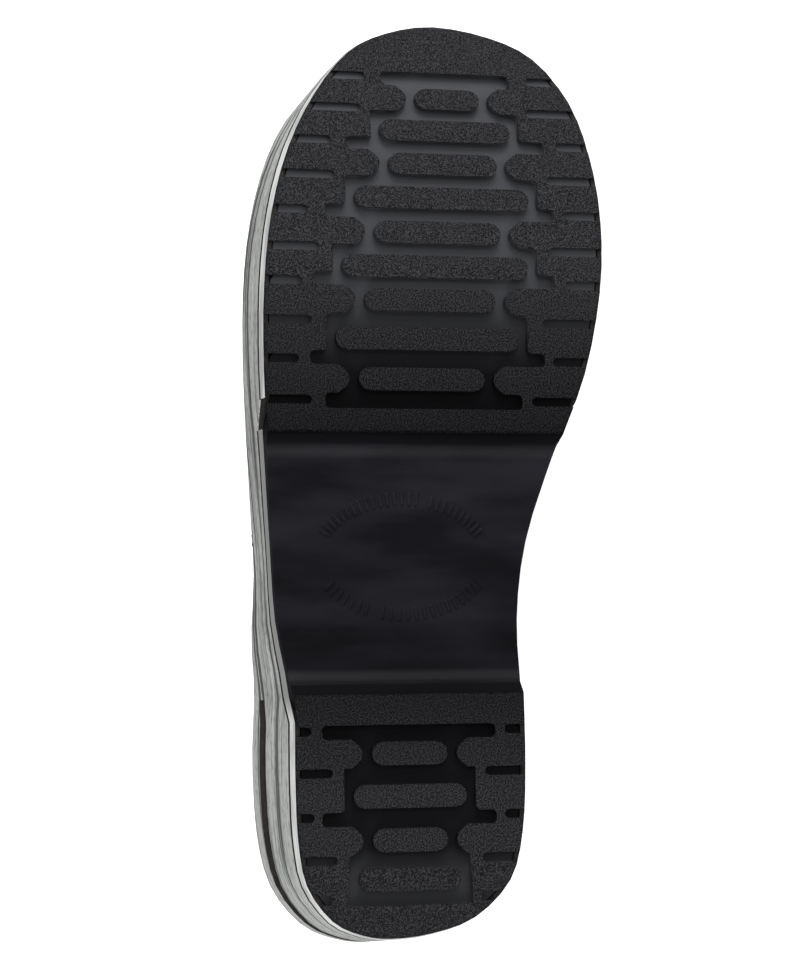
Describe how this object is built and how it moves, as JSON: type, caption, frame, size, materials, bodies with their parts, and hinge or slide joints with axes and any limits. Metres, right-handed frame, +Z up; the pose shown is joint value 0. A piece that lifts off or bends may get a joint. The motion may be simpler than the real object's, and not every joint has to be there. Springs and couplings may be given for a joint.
{
  "type": "closed-back work clog",
  "caption": "Right closed-back work clog with a lugged rubber outsole, a thick rocker midsole, a leather upper and a padded collar, lying on its medial side.",
  "frame": {"origin": "middle of the underside of the bounding box of the shoe, which lies on its medial side", "axes": "+X from the heel towards the toe, -Y out of the tread, +Z up through the lateral side"},
  "size_m": [0.2798, 0.1228, 0.1048],
  "materials": {
    "rubber": "pebbled lugs and a satin waist",
    "polyurethane": "satin, with fine moulded lines",
    "leather": "smooth, lightly polished",
    "lining": "brushed"
  },
  "bodies": {
    "root": {"outsole": "rubber", "midsole": "polyurethane", "insole": "lining", "upper": "leather", "collar": "leather"}
  },
  "joints": []
}
